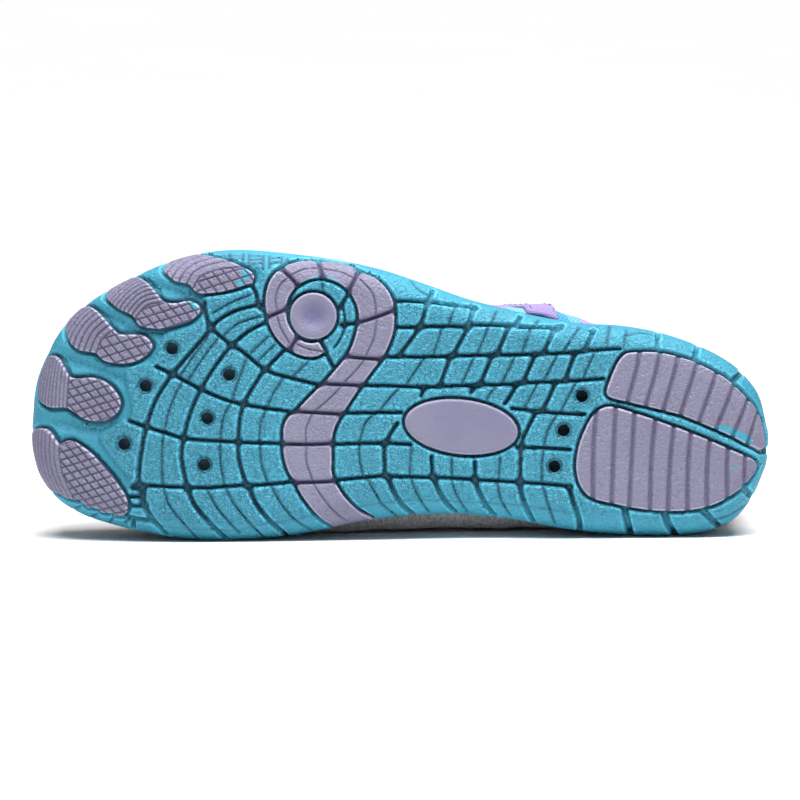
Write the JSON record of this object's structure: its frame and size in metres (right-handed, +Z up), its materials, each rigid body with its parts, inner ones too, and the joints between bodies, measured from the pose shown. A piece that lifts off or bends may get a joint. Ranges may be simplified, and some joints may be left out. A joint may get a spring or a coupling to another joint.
{
  "type": "water shoe",
  "caption": "Low slip-on water shoe for the left foot, lying on its inner side to show a moulded barefoot-style tread with toe lugs, ring, oval plate and ribbed heel pads",
  "frame": {"origin": "centre of the bounding box at floor level, where the shoe lies on its inner side", "axes": "+Z up from the floor, -X towards the toe, -Y the way the tread faces; the outer side of the foot is up"},
  "size_m": [0.2504, 0.0828, 0.0978],
  "materials": {
    "sole_teal": "moulded, fine grain",
    "lug_lavender": "moulded, fine grain",
    "insole_foam": "matte cloth on foam",
    "upper_mesh": "knitted mesh",
    "knit_lilac": "knitted, stitched"
  },
  "bodies": {
    "root": {"outsole": "sole_teal", "toe_lug_1": "lug_lavender", "toe_lug_2": "lug_lavender", "toe_lug_3": "lug_lavender", "toe_lug_4": "lug_lavender", "toe_lug_5": "lug_lavender", "ring_and_band": "lug_lavender", "button": "lug_lavender", "oval_plate": "lug_lavender", "heel_pad_outer": "lug_lavender", "heel_pad_inner": "lug_lavender", "insole": "insole_foam", "upper": "upper_mesh", "collar_band": "knit_lilac", "saddle_strap": "knit_lilac"}
  },
  "joints": []
}
